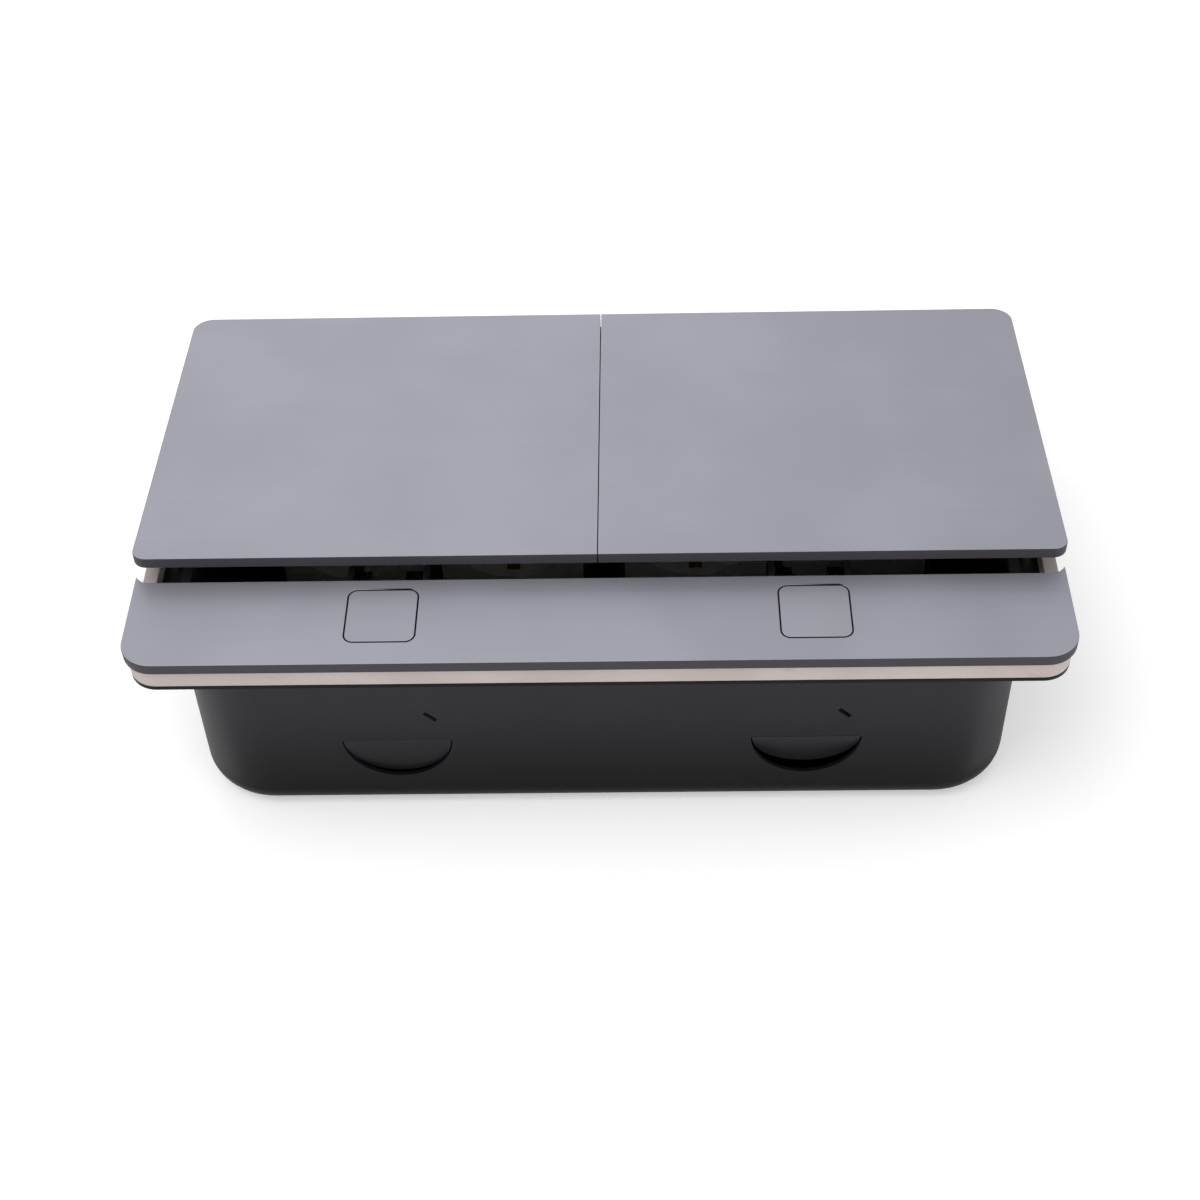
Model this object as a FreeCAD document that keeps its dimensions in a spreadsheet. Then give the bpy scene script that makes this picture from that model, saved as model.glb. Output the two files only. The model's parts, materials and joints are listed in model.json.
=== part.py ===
import FreeCAD, Part
import math
import os
import re
import Sketcher

Vector = FreeCAD.Vector
Rotation = FreeCAD.Rotation

# Driving dimensions, in millimetres and degrees
SIZES = {
    "plate_width": 255.0,       # cover plates, left to right
    "plate_depth": 146.0,       # cover plates, front to back
    "strip_thick": 3.5,
    "lid_float": 0.2,           # a closed lid stands this far above the frame
    "lid_overhang": 0.6,        # lid past the frame's rear face
    "plate_gap": 0.5,           # between the lids and the strip
    "lid_gap": 0.3,             # between the two lids
    "front_corner": 9.0,        # plan radius of the strip's front corners
    "lid_front_corner": 4.0,
    "lid_rear_corner": 6.0,
    "pop_angle": 4.1,           # lids stand this far open at rest
    "lid_bay_depth": 1.2,       # pockets in the lid's underside
    "lid_rim": 6.0,             # full-thickness border round those pockets
    "frame_inset": 1.0,         # frame's outline inside the plates' outline
    "frame_height": 6.0,
    "rim_width": 4.0,
    "ledge_height": 2.5,        # frame's floor inside its rim
    "bridge_width": 3.8,        # rib of the frame under the strip's rear edge
    "mouth_side": 14.5,         # plates' ends to the clear opening through the frame
    "mouth_rear": 14.0,         # plates' rear edge to the opening
    "mouth_setback": 2.2,       # strip's rear edge to the opening
    "mouth_corner": 8.0,
    "box_side": 9.5,            # plates' ends to the box's ends
    "box_end": 10.0,            # plates' front and rear edges to the box's walls
    "box_height": 64.5,         # underside of the box to the top of its flange
    "box_corner": 22.0,
    "base_round": 8.0,
    "sheet": 1.2,
    "knock_radius": 15.6,
    "knock_gap": 0.35,          # sheared half ring round each slug
    "knock_level": 30.0,
    "knock_side": 60.2,         # box's ends to its outer knock-outs
    "pry_radius": 14.4,         # knock-out's centre to its pry slot
    "pry_angle": 45.0,
    "pry_length": 4.6,
    "pry_width": 1.3,
    "left_slug_tilt": 6.4,
    "right_slug_tilt": 14.0,
    "base_hole_radius": 2.5,
    "base_hole_side": 64.0,     # box's ends to its base holes
    "base_hole_end": 19.0,      # box's front and rear walls to its base holes
    "button_side": 18.8,
    "button_corner": 2.5,
    "button_gap": 0.3,
    "button_thick": 3.1,
    "button_offset": 58.4,      # box centre to button centre
    "stem_radius": 2.5,
    "stem_length": 10.4,
    "tip_radius": 1.2,          # end of the stem that meets the rocker
    "tip_length": 1.6,
    "running_gap": 0.06,        # radial clearance of a shaft in its hole
    "seat_gap": 0.3,            # clearance where a piece lies close to another
    "strip_web": 3.6,           # strip's metal behind its button windows
    "cheek_thick": 1.6,
    "cheek_height": 14.5,
    "housing_front": 6.0,       # strip's front edge to the latch housing
    "cheek_reach": 4.5,         # magnets' centre to the rear ends of the housing's cheeks
    "shelf_drop": 7.0,          # housing's top to its shelf
    "shelf_thick": 1.5,
    "shelf_reach": 5.6,         # button's centre to the shelf's rear end
    "pivot_reach": 2.0,         # magnets' centre to the rocker's pin
    "pivot_drop": 13.0,         # strip's top to the rocker's pin
    "rocker_width": 6.0,
    "rocker_boss": 2.4,
    "rocker_nose": 1.2,
    "rocker_arm": 1.5,
    "rocker_mast": 3.0,         # upright between the rocker's arm and its cradle
    "cradle_thick": 1.2,        # plate of the rocker under the magnets
    "rocker_dip": 2.0,          # pin to the nose under the stem, downwards
    "pivot_radius": 1.0,
    "magnet_width": 4.6,
    "magnet_depth": 6.0,
    "magnet_height": 3.0,
    "magnet_setback": 4.7,      # strip's rear edge to the magnets' centre
    "keeper_thick": 1.0,
    "keeper_width": 16.0,
    "coil_radius": 3.5,
    "coil_wire": 0.5,
    "coil_turns": 3.0,
    "coil_room": 0.3,           # button's coil to the housing's front wall
    "bead_radius": 2.2,         # frame's rear top edge, round the hinge axis
    "pin_radius": 1.0,
    "pin_inner": 5.0,           # box centre to the pin's inner end
    "pin_side": 5.5,            # plates' ends to the pins' outer ends
    "rail_width": 4.6,          # frame's rear rail
    "lug_width": 8.0,
    "lug_inner": 22.0,          # box centre to the lugs' centres
    "lug_side": 23.5,           # plates' ends to the outer lugs' centres
    "lug_gap": 0.4,
    "lug_floor": 0.8,           # frame left under the lugs
    "torsion_radius": 1.7,
    "torsion_wire": 0.3,
    "torsion_turns": 6.0,
    "torsion_leg": 4.0,
    "seal_width": 3.0,
    "seal_inset": 0.2,
    "screw_radius": 1.5,
    "screw_head": 2.8,
    "screw_head_height": 1.8,
    "frame_screw_side": 7.9,    # plates' ends to the frame's screws
    "frame_screw_front": 45.0,  # plates' front edge to the first screws
    "frame_screw_rear": 25.0,   # plates' rear edge to the others
    "strip_screw_inner": 22.0,
    "strip_screw_side": 29.5,   # plates' ends to the outer strip screws
    "strip_screw_back": 16.0,   # strip's front edge to its screws
    "strip_boss": 3.6,
    "strip_screw_bite": 2.3,    # screw into the strip's underside
    "carrier_back": 51.0,       # plates' rear edge to the outlet brackets' front faces
    "carrier_sheet": 1.5,
    "carrier_inner": 4.0,
    "carrier_side": 14.0,       # box's ends to the brackets' outer ends
    "carrier_margin": 3.3,      # bracket over its modules
    "carrier_foot": 15.0,
    "carrier_screw_inset": 5.0,
    "module_space": 5.2,        # between the two modules of a bracket
    "module_clear": 3.1,        # screws in a bracket's foot to its modules
    "module_lip": 2.0,
    "module_step": 2.1,         # lip past the body behind it
    "module_length": 30.0,      # behind the bracket's front face
    "socket_rim": 2.9,          # module's edge to its round recess
    "socket_depth": 12.0,
    "socket_pin_radius": 2.5,
    "socket_pin_pitch": 19.0,
    "socket_pin_depth": 16.0,
    "clip_width": 4.0,
    "clip_thick": 0.8,
    "clip_length": 9.0,
    "jack_width": 12.0,
    "jack_height": 9.0,
    "jack_depth": 14.0,
    "jack_key_width": 6.0,
    "jack_key_height": 2.4,
    "terminal_radius": 2.5,
    "terminal_height": 14.0,
}

# Levels and places that follow from the driving dimensions
PLACES = {
    "half_width": "plate_width / 2",
    "half_depth": "plate_depth / 2",
    "frame_top": "box_height + frame_height",
    "ledge_top": "box_height + ledge_height",
    "plate_top": "frame_top + strip_thick",
    "lid_thick": "strip_thick - lid_float",
    "button_back": "box_end + sheet + seat_gap + cheek_thick + coil_room + coil_radius + coil_wire",
    "housing_half": "button_side / 2 + button_gap",
    "strip_depth": "button_back + housing_half + strip_web",
    "strip_rear": "strip_depth - half_depth",
    "lid_front": "strip_rear + plate_gap",
    "lid_rear": "half_depth - frame_inset + lid_overhang",
    "lid_under": "plate_top - lid_thick",
    "frame_x": "half_width - frame_inset",
    "frame_y": "half_depth - frame_inset",
    "rim_x": "frame_x - rim_width",
    "rim_front": "rim_width - frame_y",
    "rail_y": "frame_y - rail_width",
    "hinge_y": "frame_y - bead_radius",
    "hinge_z": "frame_top - bead_radius",
    "mouth_x": "half_width - mouth_side",
    "mouth_y0": "strip_rear + mouth_setback",
    "mouth_y1": "half_depth - mouth_rear",
    "button_y": "button_back - half_depth",
    "button_under": "plate_top - button_thick",
    "shelf_top": "frame_top - shelf_drop",
    "magnet_y": "strip_rear + magnet_setback",
    "pivot_y": "magnet_y + pivot_reach",
    "pivot_z": "plate_top - pivot_drop",
    "magnet_top": "lid_under - keeper_thick - seat_gap",
    "magnet_seat": "magnet_top - magnet_height",
    "box_x": "half_width - box_side",
    "box_y": "half_depth - box_end",
    "knock_offset": "box_x - knock_side",
    "base_hole_x": "box_x - base_hole_side",
    "base_hole_y": "box_y - base_hole_end",
    "lug_outer": "half_width - lug_side",
    "pin_outer": "half_width - pin_side",
    "frame_screw_x": "half_width - frame_screw_side",
    "strip_screw_outer": "half_width - strip_screw_side",
    "carrier_y": "half_depth - carrier_back",
    "carrier_outer": "box_x - carrier_side",
    "module_pitch": "(carrier_outer - carrier_inner) / 2",
    "module_inner": "carrier_inner + module_pitch / 2",
    "module_outer": "carrier_outer - module_pitch / 2",
    "module_side": "module_pitch - module_space",
    "module_body": "module_side - 2 * module_step",
    "module_level": "sheet + carrier_sheet + screw_head_height + module_clear + module_side / 2",
    "carrier_top": "module_level + module_side / 2 + carrier_margin",
    "socket_radius": "module_side / 2 - socket_rim",
    "jack_pitch": "module_body / 2",
    "terminal_y": "carrier_y + carrier_foot + 2 * terminal_radius",
    "slug_radius": "knock_radius - knock_gap",
}

WORD = re.compile(r"[a-z][a-z_0-9]*")

document = FreeCAD.newDocument("floor_outlet_box")
table = document.addObject("Spreadsheet::Sheet", "Sizes")
NODES = {}


def fill_sheet():
    """Write each driving dimension and its alias into the sheet."""
    for row, (name, number) in enumerate(SIZES.items(), start=1):
        table.set("A%d" % row, name)
        table.set("B%d" % row, str(number))
        table.setAlias("B%d" % row, name)
    document.recompute()


def formula(text):
    """Give a size expression in the sheet's terms."""
    def swap(match):
        word = match.group(0)
        if word in PLACES:
            return "(" + formula(PLACES[word]) + ")"
        if word in SIZES:
            return "Sizes." + word
        return word
    return WORD.sub(swap, str(text))


def value(text):
    """Give the number that a size expression comes to."""
    return float(table.evalExpression(formula(text)))


def bind(item, **properties):
    """Tie an object's properties to size expressions."""
    for name, text in properties.items():
        item.setExpression(name.replace("__", "."), formula(text))


def place(item, x, y, z):
    """Tie an object's position to size expressions."""
    bind(item, Placement__Base__x=x, Placement__Base__y=y, Placement__Base__z=z)


def keep(label, item):
    """Name a finished sub-part."""
    item.Label = label
    NODES[label] = item
    return item


# Solids made from primitives

TURNS = {
    "X": Rotation(Vector(0, 1, 0), 90),
    "Y": Rotation(Vector(1, 0, 0), -90),
    "Z": Rotation(),
}


def block(x0, x1, y0, y1, z0, z1):
    """A box between two places on each axis."""
    item = document.addObject("Part::Box", "Block")
    bind(item, Length=f"({x1}) - ({x0})", Width=f"({y1}) - ({y0})", Height=f"({z1}) - ({z0})")
    place(item, x0, y0, z0)
    return item


def rod(axis, x, y, z, radius, length):
    """A round bar that starts at a place and runs along an axis."""
    item = document.addObject("Part::Cylinder", "Rod")
    item.Placement = FreeCAD.Placement(Vector(), TURNS[axis])
    bind(item, Radius=radius, Height=length)
    place(item, x, y, z)
    return item


def coil(radius, wire, pitch, turns):
    """A helical spring standing on the origin, with its axis upwards."""
    path = document.addObject("Part::Helix", "CoilPath")
    bind(path, Radius=radius, Pitch=pitch, Height=f"({pitch}) * ({turns})")
    section = document.addObject("Part::Circle", "CoilWire")
    section.Placement = FreeCAD.Placement(Vector(), Rotation(Vector(1, 0, 0), 90))
    bind(section, Radius=wire, Placement__Base__x=radius)
    document.recompute()
    edges = ["Edge%d" % number for number in range(1, len(path.Shape.Edges) + 1)]
    spring = document.addObject("Part::Sweep", "Coil")
    spring.Sections = [section]
    spring.Spine = (path, edges)
    spring.Solid = True
    spring.Frenet = True
    return spring


def fuse(*pieces):
    """One solid from overlapping pieces."""
    item = document.addObject("Part::MultiFuse", "Fusion")
    item.Shapes = list(pieces)
    return item


def group(*pieces):
    """Separate like pieces that share a name."""
    item = document.addObject("Part::Compound", "Group")
    item.Links = list(pieces)
    return item


def carried(placement, *pieces):
    """Pieces moved together to a place."""
    item = group(*pieces)
    item.Placement = placement
    return item


def cut(base, *tools):
    """A piece with others taken out of it."""
    item = document.addObject("Part::Cut", "Cut")
    item.Base = base
    item.Tool = tools[0] if len(tools) == 1 else fuse(*tools)
    return item


def round_edges(base, radius, test):
    """Round the edges of a piece that a test picks."""
    document.recompute()
    item = document.addObject("Part::Fillet", "Round")
    item.Base = base
    size = value(radius)
    item.Edges = [(number, size, size) for number, edge in picked(base.Shape, test)]
    return item


# Bodies made from sketches

def new_body(name):
    """An empty body."""
    return document.addObject("PartDesign::Body", name)


def sketch(body, plane, offset, rectangles=(), circles=()):
    """A bound sketch of rectangles (x0, x1, y0, y1) and circles (x, y, radius)."""
    drawing = body.newObject("Sketcher::SketchObject", "Sketch")
    base = [item for item in body.Origin.OriginFeatures if item.Role == plane + "_Plane"][0]
    drawing.AttachmentSupport = [(base, "")]
    drawing.MapMode = "FlatFace"
    bind(drawing, AttachmentOffset__Base__z=offset)
    for x0, x1, y0, y1 in rectangles:
        draw_outline(drawing, ((x0, y0), (x1, y0), (x1, y1), (x0, y1)))
    for x, y, radius in circles:
        draw_circle(drawing, x, y, radius)
    return drawing


def hold(drawing, kind, target, text):
    """Add one bound dimension to a sketch."""
    number = drawing.addConstraint(Sketcher.Constraint(kind, *target, value(text)))
    drawing.setExpression("Constraints[%d]" % number, formula(text))


def draw_outline(drawing, corners):
    """A closed outline of straight lines through bound corners."""
    points = [Vector(value(x), value(y), 0) for x, y in corners]
    lines = []
    for start, end in zip(points, points[1:] + points[:1]):
        lines.append(drawing.addGeometry(Part.LineSegment(start, end), False))
    for line, following in zip(lines, lines[1:] + lines[:1]):
        drawing.addConstraint(Sketcher.Constraint("Coincident", line, 2, following, 1))
    for line, (x, y) in zip(lines, corners):
        hold(drawing, "DistanceX", (-1, 1, line, 1), x)
        hold(drawing, "DistanceY", (-1, 1, line, 1), y)


def draw_circle(drawing, x, y, radius):
    """A circle with a bound centre and radius."""
    circle = Part.Circle(Vector(value(x), value(y), 0), Vector(0, 0, 1), value(radius))
    number = drawing.addGeometry(circle, False)
    hold(drawing, "DistanceX", (-1, 1, number, 3), x)
    hold(drawing, "DistanceY", (-1, 1, number, 3), y)
    hold(drawing, "Radius", (number,), radius)


def pad(body, drawing, length, midplane=False):
    """Raise a sketch along its plane's normal."""
    feature = body.newObject("PartDesign::Pad", "Pad")
    feature.Profile = drawing
    feature.Midplane = midplane
    bind(feature, Length=length)
    document.recompute()
    return feature


def pocket(body, drawing, length, midplane=False):
    """Cut a sketch into the body, against its plane's normal."""
    before = body.Shape.Volume
    feature = body.newObject("PartDesign::Pocket", "Pocket")
    feature.Profile = drawing
    feature.Midplane = midplane
    bind(feature, Length=length)
    document.recompute()
    if not body.Shape.Volume < before:
        raise RuntimeError("%s in %s cuts nothing" % (feature.Name, body.Name))
    return feature


def fillet(body, radius, test):
    """Round the body's edges that a test picks."""
    feature = body.newObject("PartDesign::Fillet", "Fillet")
    previous = feature.BaseFeature or body.Tip
    names = ["Edge%d" % number for number, edge in picked(previous.Shape, test)]
    feature.Base = (previous, names)
    bind(feature, Radius=radius)
    document.recompute()
    return feature


def picked(shape, test):
    """The numbered edges of a shape that pass a test."""
    found = [(number, edge) for number, edge in enumerate(shape.Edges, start=1) if test(edge)]
    if not found:
        raise RuntimeError("no edge to round")
    return found


def near(one, other):
    return abs(one - other) < 0.01


def upright(x=None, y=None, mirrored=True):
    """Test for straight vertical edges at x and y, and at their mirror images if asked."""
    fold = abs if mirrored else float
    want_x = None if x is None else fold(value(x))
    want_y = None if y is None else fold(value(y))

    def test(edge):
        ends = [vertex.Point for vertex in edge.Vertexes]
        if len(ends) != 2 or not (near(ends[0].x, ends[1].x) and near(ends[0].y, ends[1].y)):
            return False
        matches_x = want_x is None or near(fold(ends[0].x), want_x)
        return matches_x and (want_y is None or near(fold(ends[0].y), want_y))
    return test


def at_level(z):
    """Test for edges that lie at one height."""
    level = value(z)
    return lambda edge: all(near(vertex.Point.z, level) for vertex in edge.Vertexes) and near(
        edge.BoundBox.ZMax, edge.BoundBox.ZMin)


# Steel box

def box_body():
    """Drawn box with a rim flange, base holes and part-sheared knock-outs."""
    body = new_body("BoxShell")
    outline = ("-box_x", "box_x", "-box_y", "box_y")
    pad(body, sketch(body, "XY", "0", [outline]), "box_height")
    fillet(body, "box_corner", upright("box_x", "box_y"))
    fillet(body, "base_round", at_level("0"))
    rim = ("-frame_x", "frame_x", "-frame_y", "frame_y")
    pad(body, sketch(body, "XY", "box_height - sheet", [rim]), "sheet")
    fillet(body, "front_corner - frame_inset", upright("frame_x", "-frame_y", mirrored=False))
    fillet(body, "front_corner - frame_inset", upright("-frame_x", "-frame_y", mirrored=False))
    fillet(body, "lid_rear_corner - frame_inset", upright("frame_x", "frame_y", mirrored=False))
    fillet(body, "lid_rear_corner - frame_inset", upright("-frame_x", "frame_y", mirrored=False))
    hollow = new_body("BoxHollow")
    inside = ("sheet - box_x", "box_x - sheet", "sheet - box_y", "box_y - sheet")
    pad(hollow, sketch(hollow, "XY", "sheet", [inside]), "box_height")
    fillet(hollow, "box_corner - sheet", upright("box_x - sheet", "box_y - sheet"))
    fillet(hollow, "base_round - sheet", at_level("sheet"))
    places = [(f"{a}base_hole_x", f"{b}base_hole_y", "base_hole_radius") for a in "-+" for b in "-+"]
    feet = carrier_screw_places(-1) + carrier_screw_places(1)
    places += [(x, y, "screw_radius + running_gap") for x, y in feet]
    holes = [rod("Z", x, y, "-sheet", radius, "3 * sheet") for x, y, radius in places]
    for x, y, radius in frame_screw_places("screw_radius + running_gap"):
        holes.append(rod("Z", x, y, "box_height - 2 * sheet", radius, "3 * sheet"))
    rounds = [rod("X", "-plate_width", "0", "knock_level", "knock_radius", "2 * plate_width")]
    for side in "-+":
        rounds.append(rod("Y", f"{side}knock_offset", "-plate_depth", "knock_level", "knock_radius",
                          "2 * plate_depth"))
        holes.append(pry_slot(f"{side}knock_offset"))
    above = block("-plate_width", "plate_width", "-plate_depth", "plate_depth",
                  "knock_level", "knock_level + 2 * knock_radius")
    holes.append(cut(fuse(*rounds), above))
    shell = cut(body, hollow, *holes)
    slugs = [
        slug("-knock_offset", "-box_y", 0, "left_slug_tilt"),
        slug("knock_offset", "-box_y", 0, "right_slug_tilt"),
        slug("knock_offset", "box_y", 180, "0"),
        slug("-knock_offset", "box_y", 180, "0"),
        slug("-box_x", "0", -90, "0"),
        slug("box_x", "0", 90, "0"),
    ]
    keep("box_body", fuse(shell, *slugs))


def slug(x, y, turn, tilt):
    """A knock-out's half disc, sheared round its arc and bent inwards along its diameter."""
    disc = rod("Y", "0", "0", "0", "slug_radius", "sheet")
    above = block("-knock_radius", "knock_radius", "-sheet", "2 * sheet", "knock_gap", "2 * knock_radius")
    bend = Vector(0, value("sheet / 2"), 0)
    leaning = FreeCAD.Placement(Vector(), Rotation(Vector(1, 0, 0), value(tilt)), bend)
    swung = carried(leaning, cut(disc, above))
    centre = Vector(value(x), value(y), value("knock_level"))
    return carried(FreeCAD.Placement(centre, Rotation(Vector(0, 0, 1), turn)), swung)


def pry_slot(x):
    """Slot through the front wall, above and to the right of a knock-out."""
    slot = block("-pry_length / 2", "pry_length / 2", "-2 * sheet", "2 * sheet",
                 "-pry_width / 2", "pry_width / 2")
    angle = math.radians(value("pry_angle"))
    across = value(x) + value("pry_radius") * math.cos(angle)
    level = value("knock_level") + value("pry_radius") * math.sin(angle)
    turned = Rotation(Vector(0, 1, 0), 90 - value("pry_angle"))
    return carried(FreeCAD.Placement(Vector(across, value("-box_y"), level), turned), slot)


def frame_screw_places(radius):
    """Circles at the four screws between frame and box."""
    rows = ("frame_screw_front - half_depth", "half_depth - frame_screw_rear")
    return [(f"{side}frame_screw_x", row, radius) for side in "-+" for row in rows]


def strip_screw_places(radius):
    """Circles at the four screws between frame and strip."""
    columns = ("strip_screw_inner", "strip_screw_outer")
    back = "strip_screw_back - half_depth"
    return [(f"{side}{column}", back, radius) for side in "-+" for column in columns]


def carrier_screw_places(side):
    """Centres of the two screws in one bracket's foot."""
    back = "carrier_y + carrier_foot - carrier_screw_inset"
    return [(f"{side} * (carrier_inner + carrier_screw_inset)", back),
            (f"{side} * (carrier_outer - carrier_screw_inset)", back)]


# Cast frame

def lug_spans(room):
    """Left and right ends of the hinge lugs, widened by some room."""
    spans = []
    for side in (-1, 1):
        for column in ("lug_inner", "lug_outer"):
            centre = f"{side} * {column}"
            spans.append((f"{centre} - lug_width / 2 - ({room})", f"{centre} + lug_width / 2 + ({room})"))
    return spans


def coil_spans(room):
    """Left and right ends of the torsion coils, which stand inboard of the outer lugs."""
    length = "(2 * torsion_wire * torsion_turns + 2 * torsion_wire)"
    start = "(lug_outer - lug_width / 2 - lug_gap)"
    left = (f"-{start} - ({room})", f"-{start} + {length} + ({room})")
    right = (f"{start} - {length} - ({room})", f"{start} + ({room})")
    return [left, right]


def base_frame():
    """Cast ring with a rim, an inner ledge, a bridge under the strip and a hinge rail."""
    body = new_body("FrameRing")
    outline = ("-frame_x", "frame_x", "-frame_y", "frame_y")
    pad(body, sketch(body, "XY", "box_height", [outline]), "frame_height")
    fillet(body, "front_corner - frame_inset", upright("frame_x", "-frame_y", mirrored=False))
    fillet(body, "front_corner - frame_inset", upright("-frame_x", "-frame_y", mirrored=False))
    fillet(body, "lid_rear_corner - frame_inset", upright("frame_x", "frame_y", mirrored=False))
    fillet(body, "lid_rear_corner - frame_inset", upright("-frame_x", "frame_y", mirrored=False))
    front_bay = ("-rim_x", "rim_x", "rim_front", "strip_rear - plate_gap - bridge_width")
    rear_bay = ("-rim_x", "rim_x", "strip_rear - plate_gap", "rail_y")
    pocket(body, sketch(body, "XY", "frame_top", [front_bay, rear_bay]), "frame_height - ledge_height")
    fillet(body, "front_corner - frame_inset - rim_width", upright("rim_x", "rim_front"))
    mouth = ("-mouth_x", "mouth_x", "mouth_y0", "mouth_y1")
    pocket(body, sketch(body, "XY", "frame_top", [mouth]), "frame_height")
    fillet(body, "mouth_corner", upright("mouth_x", "mouth_y1"))
    fillet(body, "mouth_corner", upright("mouth_x", "mouth_y0", mirrored=False))
    fillet(body, "mouth_corner", upright("-mouth_x", "mouth_y0", mirrored=False))
    boss_circles = strip_screw_places("strip_boss")
    pad(body, sketch(body, "XY", "box_height", [], boss_circles), "frame_height")
    notches = []
    for side in (-1, 1):
        centre = f"{side} * button_offset"
        half = "(housing_half + cheek_thick + seat_gap)"
        front = "housing_front - seat_gap - half_depth"
        notches.append((f"{centre} - {half}", f"{centre} + {half}", front, "mouth_y0 + mouth_corner / 2"))
    pocket(body, sketch(body, "XY", "frame_top", notches), "frame_height")
    for spans in (lug_spans("lug_gap"), coil_spans("lug_gap")):
        slots = [(x0, x1, "rail_y - bead_radius", "half_depth") for x0, x1 in spans]
        pocket(body, sketch(body, "XY", "frame_top", slots), "frame_height - lug_floor")
    screw_holes = frame_screw_places("screw_radius + running_gap")
    screw_holes += strip_screw_places("screw_radius + running_gap")
    pocket(body, sketch(body, "XY", "frame_top", [], screw_holes), "frame_height")
    bore = "pin_radius + running_gap"
    bores = [rod("X", "-plate_width", "hinge_y", "hinge_z", bore, "plate_width - pin_inner")]
    bores.append(rod("X", "pin_inner", "hinge_y", "hinge_z", bore, "plate_width"))
    corner = block("-half_width", "half_width", "hinge_y", "half_depth", "hinge_z", "plate_top")
    bead = rod("X", "-plate_width", "hinge_y", "hinge_z", "bead_radius", "2 * plate_width")
    keep("base_frame", cut(body, cut(corner, bead), *bores))


def lid_seal():
    """Black seal on the ledge, round the sides and rear of the opening."""
    outer_x = "(mouth_x + seal_inset + seal_width)"
    inner_x = "(mouth_x + seal_inset)"
    rear = "(mouth_y1 + seal_inset)"
    front = "strip_rear"
    body = new_body("SealStrip")
    outline = (f"-{outer_x}", outer_x, front, f"{rear} + seal_width")
    pad(body, sketch(body, "XY", "ledge_top", [outline]), "lid_under - seat_gap - ledge_top")
    inside = (f"-{inner_x}", inner_x, f"{front} - seal_width", rear)
    pocket(body, sketch(body, "XY", "lid_under", [inside]), "lid_under - box_height")
    fillet(body, "mouth_corner", upright(inner_x, rear))
    fillet(body, "mouth_corner + seal_width", upright(outer_x, f"{rear} + seal_width"))
    keep("lid_seal", body)


# Cover plates

def front_strip():
    """Fixed plate with two button windows and a horn at each rear end."""
    body = new_body("StripPlate")
    reach = "strip_rear + lid_front_corner"
    outline = ("-half_width", "half_width", "-half_depth", reach)
    pad(body, sketch(body, "XY", "frame_top", [outline]), "strip_thick")
    fillet(body, "front_corner", upright("half_width", "-half_depth", mirrored=False))
    fillet(body, "front_corner", upright("-half_width", "-half_depth", mirrored=False))
    windows = []
    for side in (-1, 1):
        centre = f"{side} * button_offset"
        windows.append((f"{centre} - housing_half", f"{centre} + housing_half",
                        "button_y - housing_half", "button_y + housing_half"))
    pocket(body, sketch(body, "XY", "plate_top", windows), "strip_thick")
    window_corners = upright(None, "button_y + housing_half", mirrored=False)
    fillet(body, "button_corner + button_gap", window_corners)
    window_corners = upright(None, "button_y - housing_half", mirrored=False)
    fillet(body, "button_corner + button_gap", window_corners)
    pilots = strip_screw_places("screw_radius + running_gap")
    pilot_depth = "strip_screw_bite + seat_gap"
    pocket(body, sketch(body, "XY", f"frame_top + {pilot_depth}", [], pilots), pilot_depth)
    lid_room = block("-half_width - plate_gap", "half_width + plate_gap", "strip_rear", "half_depth",
                     "box_height", "plate_top + lid_thick")
    for end in ("half_width + plate_gap", "-half_width - plate_gap"):
        corner = upright(end, "strip_rear", mirrored=False)
        lid_room = round_edges(lid_room, "lid_front_corner + plate_gap", corner)
    keep("front_strip", cut(body, lid_room))


def hinged():
    """Where a lid's pieces stand: turned open about the hinge axis from the closed place."""
    axis = Vector(0, value("hinge_y"), value("hinge_z"))
    return FreeCAD.Placement(Vector(), Rotation(Vector(1, 0, 0), -value("pop_angle")), axis)


def lid(name, side):
    """Flat plate with pockets underneath and two hinge lugs."""
    body = new_body("LidPlate")
    inner = f"{side} * lid_gap / 2"
    outer = f"{side} * half_width"
    outline = (inner, outer, "lid_front", "lid_rear")
    pad(body, sketch(body, "XY", "lid_under", [outline]), "lid_thick")
    fillet(body, "lid_front_corner", upright(outer, "lid_front", mirrored=False))
    fillet(body, "lid_rear_corner", upright(outer, "lid_rear", mirrored=False))
    bays = []
    near_end = f"({side} * (lid_gap / 2 + lid_rim))"
    far_end = f"({side} * (half_width - lid_rim))"
    middle = f"(({near_end} + {far_end}) / 2)"
    spans = ((near_end, f"{middle} - {side} * lid_rim / 2"), (f"{middle} + {side} * lid_rim / 2", far_end))
    for x0, x1 in spans:
        bays.append((x0, x1, "magnet_y + magnet_depth", "lid_rear - 2 * lid_rim"))
    pocket(body, sketch(body, "XY", "lid_under + lid_bay_depth", bays), "lid_bay_depth")
    for column in ("lug_inner", "lug_outer"):
        start = f"{side} * {column} - lug_width / 2"
        eye = [("hinge_y", "hinge_z", "bead_radius")]
        pad(body, sketch(body, "YZ", start, [], eye), "lug_width")
        web = [("hinge_y - bead_radius", "hinge_y + bead_radius / 2",
                "hinge_z", "lid_under + lid_thick / 4")]
        pad(body, sketch(body, "YZ", start, web), "lug_width")
    bore = [("hinge_y", "hinge_z", "pin_radius + running_gap")]
    pocket(body, sketch(body, "YZ", "0", [], bore), "2 * plate_width", midplane=True)
    body.Placement = hinged()
    keep(name, body)


def hinge_pin(name, side):
    """Steel rod through the rail and both of a lid's lugs."""
    start = "pin_inner" if side > 0 else "-pin_outer"
    keep(name, rod("X", f"{start}", "hinge_y", "hinge_z", "pin_radius", "pin_outer - pin_inner"))


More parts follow.
